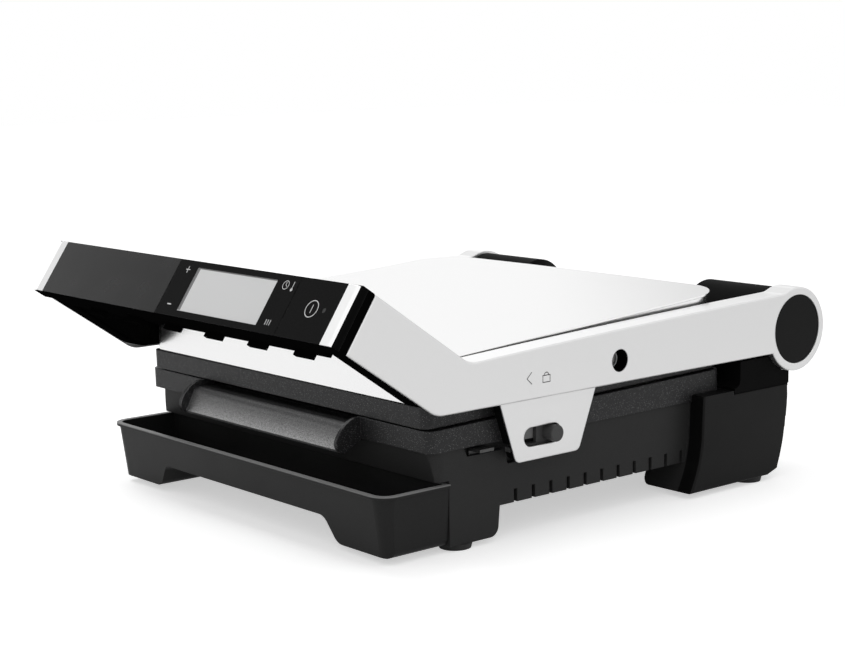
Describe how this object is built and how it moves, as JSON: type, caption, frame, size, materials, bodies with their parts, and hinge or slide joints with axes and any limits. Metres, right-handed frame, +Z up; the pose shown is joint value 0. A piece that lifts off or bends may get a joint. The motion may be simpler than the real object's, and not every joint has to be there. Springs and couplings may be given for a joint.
{
  "type": "electric contact grill",
  "caption": "Electric contact grill with ribbed plates, a tilting upper housing on a lifting yoke, a front control panel, a slide lock and a drip tray.",
  "frame": {"origin": "on the counter, under the middle of the whole grill", "axes": "+X to the right of someone facing the front, +Y to the rear with the hinges, +Z up"},
  "size_m": [0.36, 0.4586, 0.1825],
  "materials": {
    "satin_silver": "satin silver",
    "black_plastic": "fine-grained black",
    "cap_black": "satin dark grey",
    "steel": "zinc-plated",
    "bearing_plastic": "natural",
    "stainless": "brushed stainless",
    "nonstick": "speckled non-stick coating on a casting",
    "element_metal": "dull sheath",
    "bright_sheet": "mill-finished sheet",
    "sensor_metal": "plain",
    "gloss_black": "high gloss",
    "lcd": "pale grey display window",
    "module_grey": "moulded",
    "led": "smoked lens",
    "board": "green laminate",
    "cable": "black sleeve",
    "rubber": "matt"
  },
  "bodies": {
    "base": {"base_shell": "black_plastic", "bottom_plate": "black_plastic", "hinge_tower_right": "black_plastic", "hinge_tower_left": "black_plastic", "hinge_bushes_right": "bearing_plastic", "hinge_bushes_left": "bearing_plastic", "lower_plate": "nonstick", "lower_heating_element": "element_metal", "lower_reflector": "bright_sheet", "lower_sensor": "sensor_metal", "thermal_fuse": "sensor_metal", "power_board": "board", "terminal_block": "black_plastic", "cord_gland": "black_plastic", "rubber_feet": "rubber", "base_screws": "steel", "lock_keeper": "steel"},
    "yoke": {"arm_shell_right": "satin_silver", "arm_shell_left": "satin_silver", "arm_liner_right": "black_plastic", "arm_liner_left": "black_plastic", "hinge_cap_right": "cap_black", "hinge_cap_left": "cap_black", "hinge_shaft_right": "steel", "hinge_shaft_left": "steel", "hinge_nuts": "steel", "pivot_pin_right": "steel", "pivot_pin_left": "steel", "lock_tab": "satin_silver", "lock_case": "black_plastic", "control_box": "black_plastic", "panel_tile_left": "gloss_black", "panel_tile_display": "gloss_black", "panel_tile_power": "gloss_black", "display_window": "lcd", "display_module": "module_grey", "control_board": "board", "status_led": "led", "panel_trim_right": "satin_silver", "panel_trim_left": "satin_silver", "arm_cable": "cable"},
    "top": {"upper_housing": "stainless", "top_cover": "stainless", "upper_plate": "nonstick", "upper_heating_element": "element_metal", "upper_reflector": "bright_sheet", "upper_sensor": "sensor_metal", "pivot_bracket_right": "steel", "pivot_bracket_left": "steel"},
    "lock": {"lock_slider": "black_plastic", "lock_knob": "black_plastic"},
    "tray": {"drip_tray": "black_plastic"}
  },
  "joints": [
    {"name": "lid_hinge", "type": "hinge", "parent": "base", "child": "yoke", "pos_m": [0, 0.19829, 0.111], "axis": [-1, 0, 0], "range_deg": [0, 105]},
    {"name": "top_float", "type": "hinge", "parent": "yoke", "child": "top", "pos_m": [0, 0.01129, 0.1108], "axis": [-1, 0, 0], "range_deg": [-10, 0]},
    {"name": "tray_slide", "type": "slide", "parent": "base", "child": "tray", "axis": [0, -1, 0], "range_m": [0, 0.06]},
    {"name": "lock_slide", "type": "slide", "parent": "yoke", "child": "lock", "axis": [0, -1, 0], "range_m": [0, 0.0204]}
  ],
  "couplings": [
    {"joint": "top_float", "follows": "lid_hinge", "ratio": -0.095}
  ]
}
